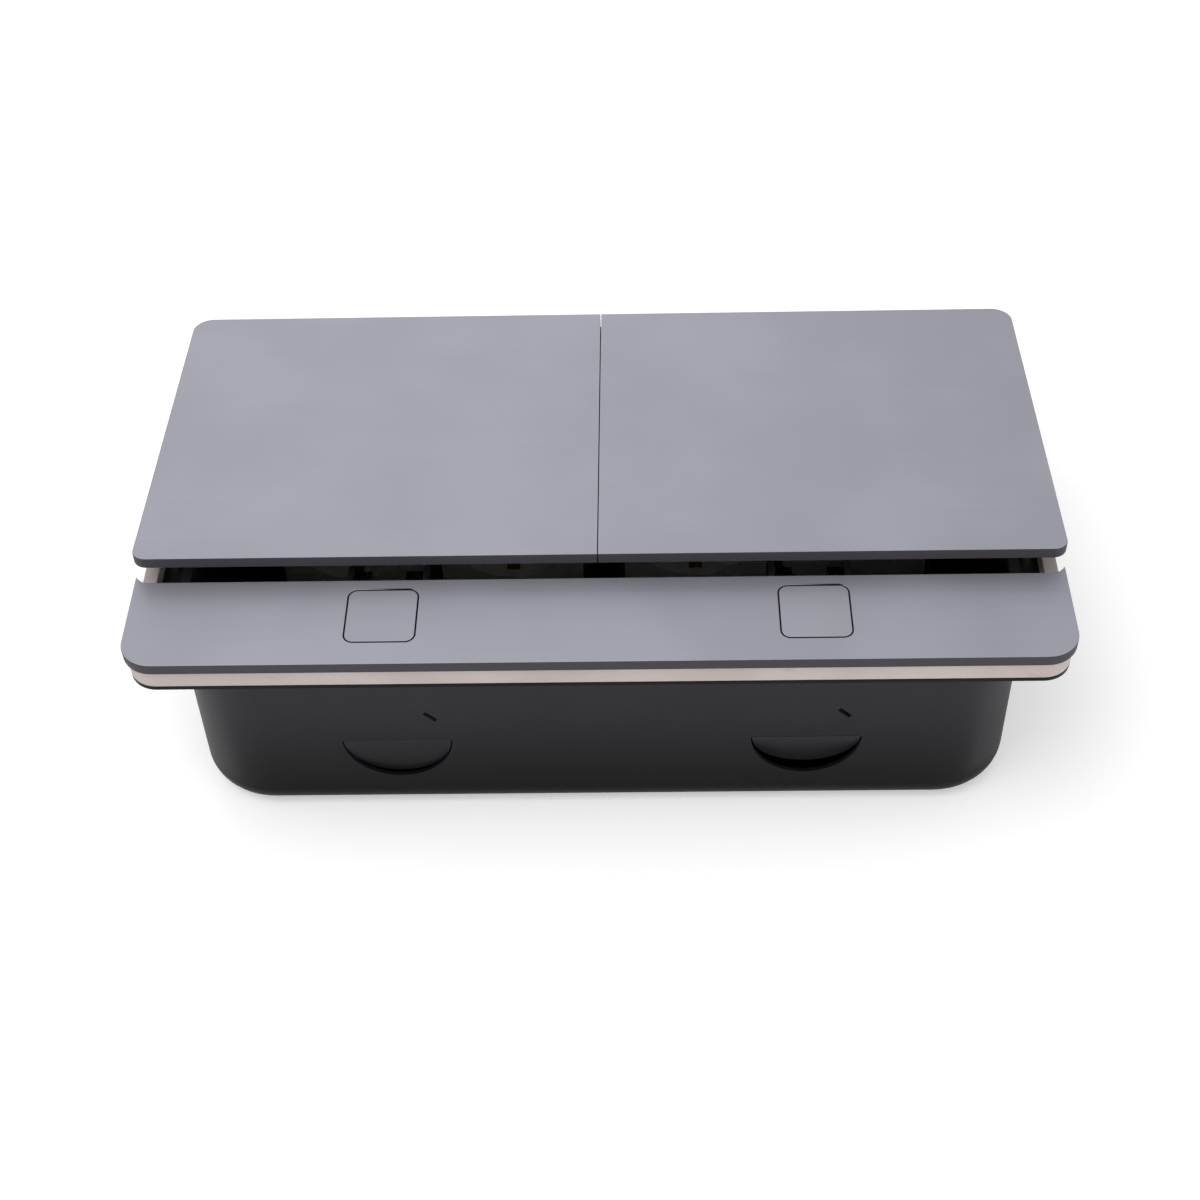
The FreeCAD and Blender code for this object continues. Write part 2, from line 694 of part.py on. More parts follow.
def lid_spring(name, side):
    """Torsion coil round the hinge pin, with a leg on the frame's side."""
    pitch = "2 * torsion_wire * 1.08"
    spring = coil("torsion_radius", "torsion_wire", pitch, "torsion_turns")
    leg = rod("Y", "torsion_radius", "-torsion_leg", "0", "torsion_wire", "torsion_leg")
    x0, x1 = coil_spans("0")[0 if side < 0 else 1]
    start = Vector(value(x0) + value("torsion_wire"), value("hinge_y"), value("hinge_z"))
    keep(name, carried(FreeCAD.Placement(start, TURNS["X"]), fuse(spring, leg)))


def keeper(name, side):
    """Steel plate under the lid's front edge."""
    centre = f"{side} * button_offset"
    plate = block(f"{centre} - keeper_width / 2", f"{centre} + keeper_width / 2",
                  "magnet_y - magnet_depth / 2", "magnet_y + magnet_depth / 2",
                  "lid_under - keeper_thick", "lid_under")
    keep(name, carried(hinged(), plate))


# Buttons and latches

def button(name, side):
    """Square cap with rounded corners on a round stem."""
    body = new_body("ButtonCap")
    centre = f"{side} * button_offset"
    cap = (f"{centre} - button_side / 2", f"{centre} + button_side / 2",
           "button_y - button_side / 2", "button_y + button_side / 2")
    pad(body, sketch(body, "XY", "button_under", [cap]), "button_thick")
    fillet(body, "button_corner", upright(None, None))
    stem = [(centre, "button_y", "stem_radius")]
    foot = "button_under - stem_length"
    shank = "stem_length - tip_length + button_thick / 2"
    pad(body, sketch(body, "XY", f"{foot} + tip_length", [], stem), shank)
    tip = [(centre, "button_y", "tip_radius")]
    pad(body, sketch(body, "XY", foot, [], tip), "2 * tip_length")
    keep(name, body)


def button_spring(name, side):
    """Coil between the housing's shelf and the button's cap."""
    pitch = "(button_under - shelf_top - 2 * coil_wire - 2 * seat_gap / 3) / coil_turns"
    spring = coil("coil_radius", "coil_wire", pitch, "coil_turns")
    level = "shelf_top + coil_wire + seat_gap / 3"
    foot = Vector(value(f"{side} * button_offset"), value("button_y"), value(level))
    keep(name, carried(FreeCAD.Placement(foot, Rotation()), spring))


def latch_housing(name, side):
    """Two cheeks joined by a front wall and a guide shelf."""
    centre = f"{side} * button_offset"
    inner = "housing_half"
    outer = "(housing_half + cheek_thick)"
    front = "housing_front - half_depth"
    rear = "(magnet_y + cheek_reach)"
    bottom = "frame_top - cheek_height"
    low_front = "(sheet - box_y + seat_gap)"
    top = "frame_top - seat_gap"
    body = new_body("HousingShell")
    tray = (f"{centre} - {outer}", f"{centre} + {outer}", front, rear)
    pad(body, sketch(body, "XY", "box_height + seat_gap", [tray]), f"{top} - box_height - seat_gap")
    well = (f"{centre} - {outer}", f"{centre} + {outer}", low_front, rear)
    pad(body, sketch(body, "XY", bottom, [well]), f"{top} - ({bottom})")
    inside = (f"{centre} - {inner}", f"{centre} + {inner}",
              f"{front} + cheek_thick", f"{rear} + cheek_thick")
    pocket(body, sketch(body, "XY", top, [inside]), f"{top} - box_height - seat_gap - cheek_thick")
    inside = (f"{centre} - {inner}", f"{centre} + {inner}",
              f"{low_front} + cheek_thick", f"{rear} + cheek_thick")
    pocket(body, sketch(body, "XY", top, [inside]), "cheek_height")
    shelf = (f"{centre} - {outer} + cheek_thick / 2", f"{centre} + {outer} - cheek_thick / 2",
             f"{low_front} + cheek_thick / 2", "button_y + shelf_reach")
    pad(body, sketch(body, "XY", "shelf_top - shelf_thick", [shelf]), "shelf_thick")
    guide = [(centre, "button_y", "stem_radius + running_gap")]
    pocket(body, sketch(body, "XY", "shelf_top", [], guide), "shelf_thick")
    pin = [("pivot_y", "pivot_z", "pivot_radius + running_gap")]
    pocket(body, sketch(body, "YZ", centre, [], pin), "2 * housing_half + 4 * cheek_thick", midplane=True)
    keep(name, body)


def magnets(name, side):
    """Two block magnets on the rocker's cradle, one each side of its mast."""
    pieces = []
    for way in (-1, 1):
        edge = f"{side} * button_offset + {way} * (housing_half - seat_gap)"
        low = edge if way < 0 else f"{edge} - magnet_width"
        high = f"{edge} + magnet_width" if way < 0 else edge
        pieces.append(block(low, high, "magnet_y - magnet_depth / 2", "magnet_y + magnet_depth / 2",
                            "magnet_seat", "magnet_top"))
    keep(name, group(*pieces))


def rocker_pin(name, side):
    """Steel pin through the housing's cheeks."""
    start = f"{side} * button_offset - housing_half - cheek_thick"
    keep(name, rod("X", start, "pivot_y", "pivot_z", "pivot_radius", "2 * (housing_half + cheek_thick)"))


def rocker(name, side):
    """Lever with a nose under the button's stem and a cradle that swings the magnets down and away."""
    body = new_body("RockerLever")
    centre = f"{side} * button_offset"
    start = f"{centre} - rocker_width / 2"
    nose = ("button_y", "pivot_z - rocker_dip", "rocker_nose")
    boss = ("pivot_y", "pivot_z", "rocker_boss")
    pad(body, sketch(body, "YZ", start, [], [boss]), "rocker_width")
    pad(body, sketch(body, "YZ", start, [], [nose]), "rocker_width")
    pad(body, arm_sketch(body, start, boss, nose), "rocker_width")
    mast = ("magnet_y - rocker_mast / 2", "magnet_y + rocker_mast / 2",
            "pivot_z", "magnet_seat + magnet_height / 2")
    pad(body, sketch(body, "YZ", start, [mast]), "rocker_width")
    cradle = ("magnet_y - magnet_depth / 2", "magnet_y + magnet_depth / 2",
              "magnet_seat - cradle_thick", "magnet_seat")
    half = "(housing_half - seat_gap)"
    pad(body, sketch(body, "YZ", f"{centre} - {half}", [cradle]), f"2 * {half}")
    bore = [("pivot_y", "pivot_z", "pivot_radius + running_gap")]
    pocket(body, sketch(body, "YZ", start, [], bore), "4 * rocker_width", midplane=True)
    keep(name, body)


def arm_sketch(body, offset, boss, nose):
    """Straight arm from the boss to a nose."""
    run = f"({nose[0]} - ({boss[0]}))"
    rise = f"({nose[1]} - ({boss[1]}))"
    span = f"sqrt({run} ^ 2 + {rise} ^ 2)"
    aside = f"(rocker_arm / 2 * {rise} / {span})"
    along = f"(rocker_arm / 2 * {run} / {span})"
    drawing = sketch(body, "YZ", offset)
    draw_outline(drawing, (
        (f"{boss[0]} - {aside}", f"{boss[1]} + {along}"),
        (f"{nose[0]} - {aside}", f"{nose[1]} + {along}"),
        (f"{nose[0]} + {aside}", f"{nose[1]} - {along}"),
        (f"{boss[0]} + {aside}", f"{boss[1]} - {along}")))
    return drawing


# Outlets and their brackets

def module_places(side):
    """Centres of the two modules of one bracket."""
    return [f"{side} * module_inner", f"{side} * module_outer"]


def carrier(name, side):
    """Folded bracket with two module windows and a foot."""
    body = new_body("Bracket")
    x0, x1 = f"{side} * carrier_inner", f"{side} * carrier_outer"
    face = (x0, x1, "carrier_y", "carrier_y + carrier_sheet")
    pad(body, sketch(body, "XY", "sheet", [face]), "carrier_top - sheet")
    foot = (x0, x1, "carrier_y", "carrier_y + carrier_foot")
    pad(body, sketch(body, "XY", "sheet", [foot]), "carrier_sheet")
    half = "(module_body / 2 + seat_gap)"
    windows = [(f"{x} - {half}", f"{x} + {half}", f"module_level - {half}", f"module_level + {half}")
               for x in module_places(side)]
    pocket(body, sketch(body, "XZ", "-carrier_y", windows), "4 * carrier_sheet", midplane=True)
    holes = [(x, y, "screw_radius + running_gap") for x, y in carrier_screw_places(side)]
    pocket(body, sketch(body, "XY", "2 * sheet + carrier_sheet", [], holes), "3 * sheet")
    keep(name, body)


def module_block(body, x):
    """Module's square lip and the body behind it."""
    half = "module_side / 2"
    lip = (f"{x} - {half}", f"{x} + {half}", f"module_level - {half}", f"module_level + {half}")
    pad(body, sketch(body, "XZ", "-carrier_y", [lip]), "module_lip")
    half = "module_body / 2"
    back = (f"{x} - {half}", f"{x} + {half}", f"module_level - {half}", f"module_level + {half}")
    pad(body, sketch(body, "XZ", "-carrier_y - module_length", [back]), "module_length")


def socket(name, x):
    """Power socket: a round recess with two pin holes in its floor."""
    body = new_body("SocketModule")
    module_block(body, x)
    recess = [(x, "module_level", "socket_radius")]
    pocket(body, sketch(body, "XZ", "module_lip - carrier_y", [], recess), "socket_depth")
    pins = [(f"{x} {way} socket_pin_pitch / 2", "module_level", "socket_pin_radius") for way in "-+"]
    pocket(body, sketch(body, "XZ", "module_lip - carrier_y", [], pins), "socket_depth + socket_pin_depth")
    keep(name, body)


def clips(name, x):
    """Earth clips at the top and bottom of a socket's recess."""
    front = "carrier_y - module_lip + socket_depth - clip_length"
    reach = "(sqrt(socket_radius ^ 2 - clip_width ^ 2 / 4) - seat_gap / 2)"
    ends = (f"{x} - clip_width / 2", f"{x} + clip_width / 2", front, f"{front} + clip_length")
    upper = block(*ends, f"module_level + {reach} - clip_thick", f"module_level + {reach}")
    lower = block(*ends, f"module_level - {reach}", f"module_level - {reach} + clip_thick")
    keep(name, group(upper, lower))


def data_outlet(name, x):
    """Module with two data jacks, each with a key slot under its opening."""
    body = new_body("DataModule")
    module_block(body, x)
    openings = []
    keys = []
    for way in (-1, 1):
        centre = f"{x} + {way} * jack_pitch / 2"
        low = "module_level - jack_height / 2"
        openings.append((f"{centre} - jack_width / 2", f"{centre} + jack_width / 2", low,
                         "module_level + jack_height / 2"))
        keys.append((f"{centre} - jack_key_width / 2", f"{centre} + jack_key_width / 2",
                     f"{low} - jack_key_height", f"{low} + jack_key_height"))
    pocket(body, sketch(body, "XZ", "module_lip - carrier_y", openings), "jack_depth")
    pocket(body, sketch(body, "XZ", "module_lip - carrier_y", keys), "jack_depth")
    keep(name, body)


def earth_terminal():
    """Stud, washer and nut on the floor of the box."""
    washer = rod("Z", "0", "terminal_y", "sheet", "2 * terminal_radius", "terminal_radius / 2")
    stud = rod("Z", "0", "terminal_y", "sheet", "terminal_radius", "terminal_height")
    nut = document.addObject("Part::Prism", "Nut")
    nut.Polygon = 6
    bind(nut, Circumradius="1.9 * terminal_radius", Height="1.6 * terminal_radius")
    place(nut, "0", "terminal_y", "sheet + terminal_radius / 2")
    keep("earth_terminal", fuse(washer, stud, nut))


# Fasteners

def screw(x, y, seat, grip, way):
    """Pan-head screw with a cross recess: way 1 has its head on top, way -1 below."""
    top = f"{seat} + {way} * screw_head_height"
    low, high = (seat, top) if way > 0 else (top, seat)
    head = rod("Z", x, y, low, "screw_head", "screw_head_height")
    shank = rod("Z", x, y, f"{seat} - ({grip})" if way > 0 else seat, "screw_radius", grip)
    blank = fuse(head, shank)
    half_slot = "screw_head / 10"
    arm = "screw_head * 0.6"
    floor = f"{top} - {way} * screw_head_height * 0.6"
    z0, z1 = (floor, f"{top} + 1") if way > 0 else (f"{top} - 1", floor)
    first = block(f"{x} - {arm}", f"{x} + {arm}", f"{y} - {half_slot}", f"{y} + {half_slot}", z0, z1)
    second = block(f"{x} - {half_slot}", f"{x} + {half_slot}", f"{y} - {arm}", f"{y} + {arm}", z0, z1)
    return cut(blank, first, second)


def screws():
    """The like screws of each joint between pieces."""
    down = [screw(x, y, "ledge_top", "ledge_height + 2 * sheet", 1) for x, y, _ in frame_screw_places("0")]
    keep("frame_screws", group(*down))
    grip = "frame_height + strip_screw_bite"
    up = [screw(x, y, "box_height", grip, -1) for x, y, _ in strip_screw_places("0")]
    keep("strip_screws", group(*up))
    feet = carrier_screw_places(-1) + carrier_screw_places(1)
    low = [screw(x, y, "sheet + carrier_sheet", "sheet + carrier_sheet - seat_gap", 1) for x, y in feet]
    keep("carrier_screws", group(*low))


def build():
    """Make every sub-part."""
    fill_sheet()
    box_body()
    base_frame()
    lid_seal()
    front_strip()
    for name, side in (("left", -1), ("right", 1)):
        lid(name + "_lid", side)
        hinge_pin(name + "_hinge_pin", side)
        lid_spring(name + "_lid_spring", side)
        keeper(name + "_keeper", side)
        button(name + "_button", side)
        button_spring(name + "_button_spring", side)
        latch_housing(name + "_latch_housing", side)
        magnets(name + "_magnets", side)
        rocker(name + "_rocker", side)
        rocker_pin(name + "_rocker_pin", side)
        carrier(name + "_carrier", side)
    left_inner, left_outer = module_places(-1)
    right_inner, right_outer = module_places(1)
    for name, x in (("left_outer", left_outer), ("left_inner", left_inner), ("right_inner", right_inner)):
        socket(name + "_socket", x)
        clips(name + "_clips", x)
    data_outlet("data_outlet", right_outer)
    earth_terminal()
    screws()
    document.recompute()


def check():
    """Stop at an object that failed or a sub-part with no sound solid."""
    for item in document.Objects:
        if "Invalid" in item.State or "Error" in item.State:
            raise RuntimeError("%s (%s) failed: %s" % (item.Name, item.Label, item.State))
    for label, item in NODES.items():
        shape = item.Shape
        if shape.isNull() or not shape.isValid() or not shape.Solids:
            raise RuntimeError("%s has no sound solid" % label)


def write():
    """Write each sub-part to its own file."""
    os.makedirs("parts", exist_ok=True)
    for label, item in NODES.items():
        item.Shape.exportStep("parts/%s.step" % label)
        box = item.Shape.BoundBox
        print("%-22s %d solids  x %7.2f %7.2f  y %7.2f %7.2f  z %6.2f %6.2f" % (
            label, len(item.Shape.Solids), box.XMin, box.XMax, box.YMin, box.YMax, box.ZMin, box.ZMax))


build()
check()
write()
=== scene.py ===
import json
from math import radians

import bmesh
import bpy
from mathutils import Matrix, Vector


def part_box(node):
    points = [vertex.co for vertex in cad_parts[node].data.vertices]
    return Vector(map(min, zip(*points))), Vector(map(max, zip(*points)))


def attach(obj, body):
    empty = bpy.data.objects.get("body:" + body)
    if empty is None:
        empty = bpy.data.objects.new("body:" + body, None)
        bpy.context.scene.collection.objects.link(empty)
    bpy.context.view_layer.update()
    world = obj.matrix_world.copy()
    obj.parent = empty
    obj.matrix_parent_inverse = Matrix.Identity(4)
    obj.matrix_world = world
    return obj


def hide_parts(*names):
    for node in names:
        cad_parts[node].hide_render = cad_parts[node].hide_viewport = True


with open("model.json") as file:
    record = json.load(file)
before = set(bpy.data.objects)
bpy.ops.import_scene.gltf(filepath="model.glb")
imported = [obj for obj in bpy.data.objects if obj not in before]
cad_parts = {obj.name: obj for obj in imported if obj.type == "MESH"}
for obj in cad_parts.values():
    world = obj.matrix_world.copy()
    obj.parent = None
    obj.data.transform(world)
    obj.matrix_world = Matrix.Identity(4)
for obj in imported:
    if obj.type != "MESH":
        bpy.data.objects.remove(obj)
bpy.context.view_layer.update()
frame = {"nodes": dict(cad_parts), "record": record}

MM = 0.001
SIDES = ("left", "right")
SHARP_EDGE = radians(40)


# Editing helpers

def only(*pieces):
    """Make these pieces the whole selection, the first one active."""
    bpy.ops.object.select_all(action="DESELECT")
    for piece in pieces:
        piece.select_set(True)
    bpy.context.view_layer.objects.active = pieces[0]


def pick(piece, kind, test):
    """Open a piece in edit mode with just the faces or edges that pass a test selected."""
    only(piece)
    bpy.ops.object.mode_set(mode="EDIT")
    bpy.ops.mesh.select_mode(type=kind)
    bpy.ops.mesh.select_all(action="DESELECT")
    mesh = bmesh.from_edit_mesh(piece.data)
    mesh.normal_update()
    for item in mesh.faces if kind == "FACE" else mesh.edges:
        if test(item):
            item.select_set(True)
    bmesh.update_edit_mesh(piece.data)


def leave():
    """Close edit mode."""
    bpy.ops.object.mode_set(mode="OBJECT")


def settle(piece):
    """Put a piece's place, turn and size into its mesh."""
    only(piece)
    bpy.ops.object.transform_apply(location=True, rotation=True, scale=True)


def smooth(piece):
    """Shade a piece smoothly, except over its sharp edges."""
    only(piece)
    bpy.ops.object.shade_smooth_by_angle(angle=radians(35))


def facing(face, axis):
    return face.normal.dot(Vector(axis)) > 0.9


def block(name, low, high):
    """A new box between two corners, in millimetres."""
    low, high = Vector(low) * MM, Vector(high) * MM
    bpy.ops.object.select_all(action="DESELECT")
    bpy.ops.mesh.primitive_cube_add(size=1, location=(low + high) / 2, scale=high - low)
    piece = bpy.context.object
    piece.name = name
    settle(piece)
    return piece


def bar(name, start, end, radius):
    """A new round bar between two points, in millimetres."""
    start, end = Vector(start) * MM, Vector(end) * MM
    along = end - start
    bpy.ops.object.select_all(action="DESELECT")
    bpy.ops.mesh.primitive_cylinder_add(
        vertices=32, radius=radius * MM, depth=along.length, location=(start + end) / 2,
        rotation=along.to_track_quat("Z", "Y").to_euler())
    piece = bpy.context.object
    piece.name = name
    settle(piece)
    return piece


def pushed(piece, test, *steps):
    """Extrude the faces that pass a test by each step in turn, in millimetres."""
    pick(piece, "FACE", test)
    for step in steps:
        bpy.ops.mesh.extrude_region_move(TRANSFORM_OT_translate={"value": Vector(step) * MM})
    leave()


def bevelled(piece, width, test=None):
    """Round a piece's sharp edges, or those that pass a test, by a width in millimetres."""
    pick(piece, "EDGE", test or (lambda edge: edge.calc_face_angle(0) > SHARP_EDGE))
    bpy.ops.mesh.bevel(offset=width * MM, segments=2, affect="EDGES", clamp_overlap=False)
    leave()


def copied(piece, name, shift):
    """A copy with its own mesh, moved by millimetres."""
    twin = piece.copy()
    twin.data = piece.data.copy()
    twin.name = name
    bpy.context.scene.collection.objects.link(twin)
    twin.data.transform(Matrix.Translation(Vector(shift) * MM))
    return twin


def joined(name, pieces):
    """Several pieces as one object."""
    only(*pieces)
    bpy.ops.object.join()
    piece = bpy.context.object
    piece.name = name
    return piece


# Finishes

class Value:
    """A node's socket that sums can be written with."""

    def __init__(self, finish, socket):
        self.finish = finish
        self.socket = socket

    def work(self, operation, other, swapped=False):
        first, second = (other, self) if swapped else (self, other)
        return self.finish.add("ShaderNodeMath", {"operation": operation}, {0: first, 1: second})

    def __add__(self, other):
        return self.work("ADD", other)

    def __sub__(self, other):
        return self.work("SUBTRACT", other)

    def __rsub__(self, other):
        return self.work("SUBTRACT", other, swapped=True)

    def __mul__(self, other):
        return self.work("MULTIPLY", other)

    __radd__ = __add__
    __rmul__ = __mul__


class Finish:
    """A material: one shader and the nodes that vary it over a surface."""

    def __init__(self, name, **numbers):
        self.material = bpy.data.materials.new(name)
        self.material.use_nodes = True
        self.tree = self.material.node_tree
        self.shader = self.tree.nodes["Principled BSDF"]
        for socket, number in numbers.items():
            self.set(socket.replace("_", " "), number)

    def feed(self, socket, source):
        """Link a value to a socket, or set the socket to a plain number."""
        if isinstance(source, Value):
            self.tree.links.new(source.socket, socket)
        else:
            socket.default_value = source

    def set(self, socket, source):
        """Feed one of the shader's own sockets."""
        self.feed(self.shader.inputs[socket], source)

    def add(self, kind, settings=None, sockets=None, output=0):
        """Any node, with its settings first and then its sockets."""
        node = self.tree.nodes.new(kind)
        for name, setting in (settings or {}).items():
            setattr(node, name, setting)
        for name, source in (sockets or {}).items():
            self.feed(node.inputs[name], source)
        return Value(self, node.outputs[output])

    def noise(self, scale, stretch=(1, 1, 1), detail=3.0, shift=0.0):
        """Noise with so many lumps a metre, drawn out where the stretch is small."""
        place = self.add("ShaderNodeTexCoord", output="Object")
        place = self.add("ShaderNodeMapping", {}, {
            "Vector": place, "Location": (shift, shift, shift), "Scale": stretch})
        return self.add("ShaderNodeTexNoise", {}, {"Vector": place, "Scale": scale, "Detail": detail})

    def step(self, source, low, high):
        """A value that goes smoothly from 0 to 1 between two levels."""
        return self.add("ShaderNodeMapRange", {"interpolation_type": "SMOOTHSTEP"}, {
            "Value": source, "From Min": low, "From Max": high})

    def mix(self, share, first, second):
        """One colour turning into another."""
        return self.add("ShaderNodeMix", {"data_type": "RGBA"}, {0: share, 6: first, 7: second}, output=2)

    def upward(self):
        """How far a surface faces the piece's own top, from -1 to 1."""
        normal = self.add("ShaderNodeTexCoord", output="Normal")
        return self.add("ShaderNodeSeparateXYZ", {}, {0: normal}, output="Z")

    def place(self, axis):
        """Where a point of a piece that stands still lies on an axis, in metres."""
        place = self.add("ShaderNodeTexCoord", output="Object")
        return self.add("ShaderNodeSeparateXYZ", {}, {0: place}, output=axis)

    def emboss(self, relief, depth, strength=1.0):
        """Bump from a relief between 0 and 1, so many metres deep."""
        bump = self.add("ShaderNodeBump", {}, {"Height": relief, "Distance": depth, "Strength": strength})
        self.set("Normal", bump)


def tint(red, green, blue):
    """A colour as a screen shows it, 0 to 255, in linear light."""
    levels = [level / 255 for level in (red, green, blue)]
    linear = [level / 12.92 if level < 0.04045 else ((level + 0.055) / 1.055) ** 2.4 for level in levels]
    return (*linear, 1.0)


def brushed_plate(name, face, edge, shift):
    """Satin plate with faint long brushing on top, and its sides and back painted darker as shade."""
    finish = Finish(name, Metallic=0.55)
    cloud = finish.noise(22, detail=2.0, shift=shift)
    streak = finish.noise(420, stretch=(0.02, 1, 1), detail=4.0, shift=shift)
    fine = finish.noise(2600, stretch=(0.015, 1, 1), detail=2.0, shift=shift)
    # Faces that don't point up get the edge colour: painted shade on the sides and underside.
    top = finish.step(finish.upward(), 0.35, 0.9)
    dark, light = [tint(*(level * share for level in face)) for share in (0.975, 1.02)]
    tone = finish.mix(finish.step(cloud * 0.85 + streak * 0.15, 0.36, 0.64), dark, light)
    low, high = [tint(*(level * share for level in edge)) for share in (0.96, 1.06)]
    side = finish.mix(cloud * 0.6 + streak * 0.4, low, high)
    finish.set("Base Color", finish.mix(top, side, tone))
    finish.set("Roughness", cloud * 0.1 + streak * 0.06 + 0.42)
    finish.emboss(fine * 0.7 + streak * 0.3, 0.000015, 0.4)
    return finish.material


def cream_casting():
    """Pale painted casting with small rubbed marks, and near-black painted shade inside its rim."""
    finish = Finish("cream_casting")
    cloud = finish.noise(40, detail=3.0)
    marks = finish.noise(260, stretch=(0.35, 1, 1), detail=6.0)
    rub = finish.step(marks, 0.62, 0.72)
    tone = finish.mix(finish.step(cloud, 0.35, 0.65), tint(200, 187, 181), tint(208, 196, 191))
    paint = finish.mix(rub * 0.25, tone, tint(160, 146, 138))
    # Bounds of the recess inside the rim, which is painted near black as shade.
    side, back, front, top = (0.1221, 0.1224), (0.0671, 0.0673), (-0.0678, -0.0676), (0.0671, 0.0673)
    across, along = finish.place("X").work("ABSOLUTE", 0.0), finish.place("Y")
    painted_recess_shade = (1 - finish.step(across, *side)) * (1 - finish.step(finish.place("Z"), *top))
    painted_recess_shade = painted_recess_shade * (1 - finish.step(along, *back)) * finish.step(along, *front)
    finish.set("Base Color", finish.mix(painted_recess_shade, paint, tint(22, 22, 23)))
    finish.set("Roughness", cloud * 0.15 + rub * 0.15 + 0.42)
    finish.emboss(finish.noise(1400, detail=2.0) * 0.5 + rub * -0.6, 0.00004, 0.6)
    return finish.material


def black_powder():
    """Black powder coat with fine orange peel, lighter high up as painted reflection, darker low down as
    painted shade, with painted light where the front turns in and painted shade on the flange edge.
    """
    finish = Finish("black_powder", Specular_IOR_Level=0.15)
    cloud = finish.noise(30, detail=4.0)
    peel = finish.noise(1800, detail=2.0)
    along, height = finish.place("Y"), finish.place("Z")
    # Lighter high up is a painted reflection of the pale floor; darker low down is painted shade near the
    # floor.
    high = finish.step(height, 0.002, 0.062)
    painted_shade_tone = finish.mix(cloud, tint(8, 8, 9), tint(13, 13, 14))
    painted_reflection_tone = finish.mix(cloud, tint(48, 46, 52), tint(56, 54, 60))
    # Painted light on the pushed-in knock-out slugs and the front corners, lifting the shade of their
    # recess.
    front = finish.step(along, -0.0622, -0.0592) - finish.step(along, -0.0585, -0.050)
    painted_slug_light = front * finish.step(height, 0.008, 0.014)
    wall = finish.mix(painted_slug_light * 0.35, finish.mix(high, painted_shade_tone, painted_reflection_tone), tint(66, 65, 70))
    # Near-black painted shade on the flange's edge below the frame.
    rim = finish.step(height, 0.0630, 0.0634)
    finish.set("Base Color", finish.mix(rim, wall, tint(20, 20, 21)))
    finish.set("Roughness", cloud * 0.14 + 0.3)
    finish.emboss(peel, 0.00003, 0.45)
    return finish.material


def moulded(name, colour, roughness, grain=2200, depth=0.00002):
    """Moulded plastic or rubber with a fine grain."""
    finish = Finish(name)
    cloud = finish.noise(60, detail=3.0)
    dark, light = [tint(*(min(level * share, 255) for level in colour)) for share in (0.94, 1.05)]
    finish.set("Base Color", finish.mix(cloud, dark, light))
    finish.set("Roughness", cloud * 0.14 + (roughness - 0.07))
    finish.emboss(finish.noise(grain, detail=2.0), depth, 0.5)
    return finish.material


def bright_metal(name, colour, roughness, stretch=(1, 1, 1), grain=900, tarnish=0.85):
    """Plated or ground metal with drawn lines and light tarnish."""
    finish = Finish(name, Metallic=1.0)
    cloud = finish.noise(180, detail=4.0)
    lines = finish.noise(grain, stretch=stretch, detail=3.0)
    dull = [level * tarnish for level in colour]
    finish.set("Base Color", finish.mix(finish.step(cloud, 0.3, 0.65), tint(*dull), tint(*colour)))
    finish.set("Roughness", cloud * 0.2 + lines * 0.12 + (roughness - 0.12))
    finish.emboss(lines, 0.00001, 0.4)
    return finish.material


FINISHES = {
    # The second colour of each plate is painted shade for its sides and underside.
    "plate_metal": brushed_plate("brushed_plate", (154, 154, 165), (72, 70, 75), 0.0),
    "button_metal": brushed_plate("brushed_button", (153, 153, 163), (52, 52, 57), 3.7),
    "frame_cream": cream_casting(),
    "box_black": black_powder(),
    "seal_rubber": moulded("seal_rubber", (26, 26, 27), 0.62, 3000, 0.00003),
    "housing_plastic": moulded("housing_plastic", (44, 44, 47), 0.48),
    "rocker_plastic": moulded("rocker_plastic", (70, 70, 76), 0.4),
    "module_white": moulded("module_white", (232, 231, 226), 0.3, 3000, 0.00001),
    "bracket_steel": bright_metal("zinc_sheet", (178, 180, 184), 0.42, (0.2, 1, 1), 500, 0.86),
    "pin_steel": bright_metal("ground_steel", (182, 182, 186), 0.26, (1, 0.1, 0.1), 1500, 0.9),
    "spring_steel": bright_metal("drawn_wire", (150, 151, 156), 0.3, grain=1200, tarnish=0.8),
    "screw_steel": bright_metal("zinc_screw", (190, 190, 186), 0.3),
    "magnet": bright_metal("nickel_magnet", (136, 136, 140), 0.24, grain=700),
    "brass": bright_metal("dull_brass", (134, 110, 68), 0.36, grain=800, tarnish=0.78),
}


def dress(piece, slot):
    """Give a piece the finish of one of the record's slots, and nothing else."""
    piece.data.materials.clear()
    piece.data.materials.append(FINISHES[slot])
    for face in piece.data.polygons:
        face.material_index = 0


def mount(piece, body, slot):
    """Finish a new piece and let it ride on a body."""
    dress(piece, slot)
    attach(piece, body)


NODE_SLOTS = {part["node"]: part["material_slot"] for part in frame["record"]["subparts"]}
NODE_BODIES = {
    node: body for body, nodes in frame["record"]["behaviour"]["bodies"].items() for node in nodes}
for node, thing in frame["nodes"].items():
    dress(thing, NODE_SLOTS[node])


# Plates, castings and mouldings with rounded edges

def rounded(node, name, width, spared=None):
    """A finished copy of a CAD piece, its sharp outer edges rounded except where they are spared."""
    piece = frame["nodes"][node].copy()
    piece.data = piece.data.copy()
    piece.name = name
    piece.parent = None
    for key in list(piece.keys()):
        del piece[key]
    bpy.context.scene.collection.objects.link(piece)
    only(piece)
    bpy.ops.mesh.customdata_custom_splitnormals_clear()
    pick(piece, "FACE", lambda face: True)
    bpy.ops.mesh.remove_doubles(threshold=0.000002)
    bpy.ops.mesh.dissolve_limited(angle_limit=radians(0.4))
    leave()

    def sharp(edge):
        if not (edge.is_convex and edge.calc_face_angle(0) > SHARP_EDGE):
            return False
        return spared is None or not all(spared(corner.co / MM) for corner in edge.verts)

    bevelled(piece, width, sharp)
    smooth(piece)
    piece.modifiers.new("even_faces", "WEIGHTED_NORMAL").keep_sharp = True
    mount(piece, NODE_BODIES[node], NODE_SLOTS[node])
    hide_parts(node)


